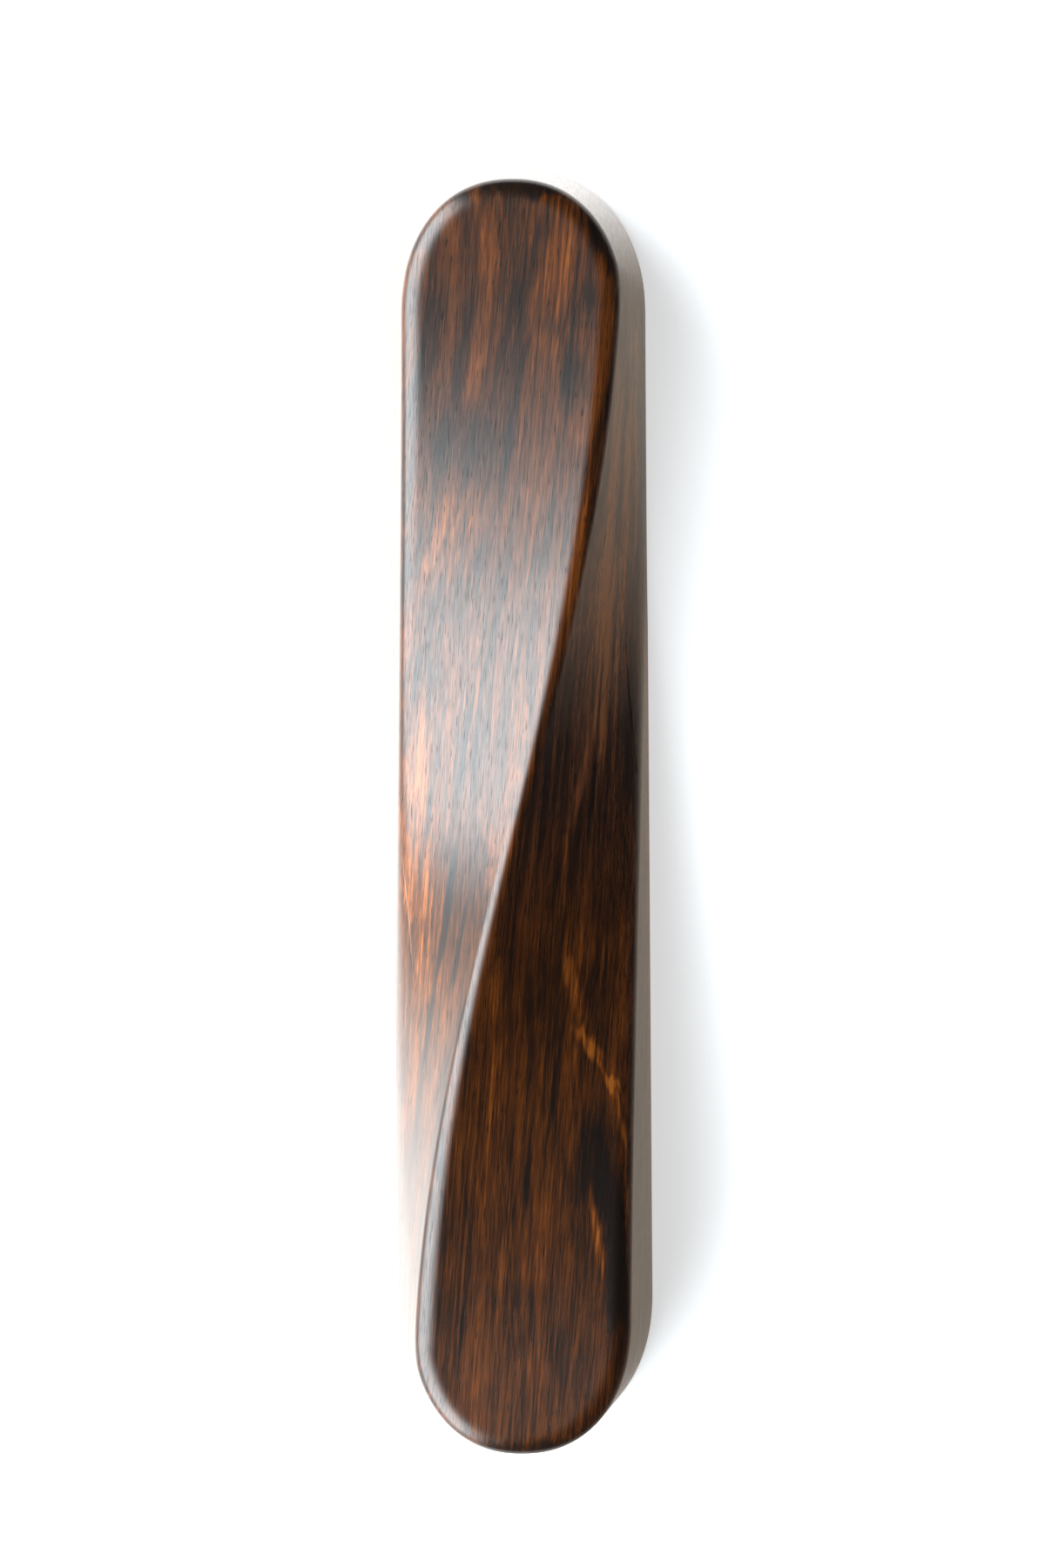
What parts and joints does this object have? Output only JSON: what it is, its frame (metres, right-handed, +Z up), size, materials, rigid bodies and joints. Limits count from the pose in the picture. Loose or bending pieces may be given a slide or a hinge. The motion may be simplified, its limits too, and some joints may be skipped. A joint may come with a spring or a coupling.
{
  "type": "dip pen case",
  "caption": "Closed hardwood case for a dip pen: a long rounded block with a twisted ridge on top, parting into a lined base and a lift-off lid.",
  "frame": {"origin": "middle of the underside, on the surface that the case lies on", "axes": "+Z up, +Y along the case towards the nib end of the pen, +X to the right when the ridge runs from the far right to the near left"},
  "size_m": [0.0424, 0.2098, 0.033],
  "materials": {
    "shell_wood": "dark striped rosewood, oiled and waxed to a satin gloss",
    "rest_wood": "dark hardwood, oiled",
    "lining": "brown suede",
    "felt": "dense wool felt",
    "magnet": "nickel plated",
    "brass": "turned brass"
  },
  "bodies": {
    "base": {"base_shell": "shell_wood", "base_lining": "lining", "pen_rest_front": "rest_wood", "pen_rest_rear": "rest_wood", "base_magnet_front": "magnet", "base_magnet_rear": "magnet", "locating_pin_front": "brass", "locating_pin_rear": "brass"},
    "lid": {"lid_shell": "shell_wood", "lid_lining": "lining", "lid_pad_front": "felt", "lid_pad_rear": "felt", "lid_magnet_front": "magnet", "lid_magnet_rear": "magnet", "pin_bush_front": "brass", "pin_bush_rear": "brass"}
  },
  "joints": [
    {"name": "lid_lift", "type": "slide", "parent": "base", "child": "lid", "axis": [0, 0, 1], "range_m": [0, 0.06]}
  ]
}
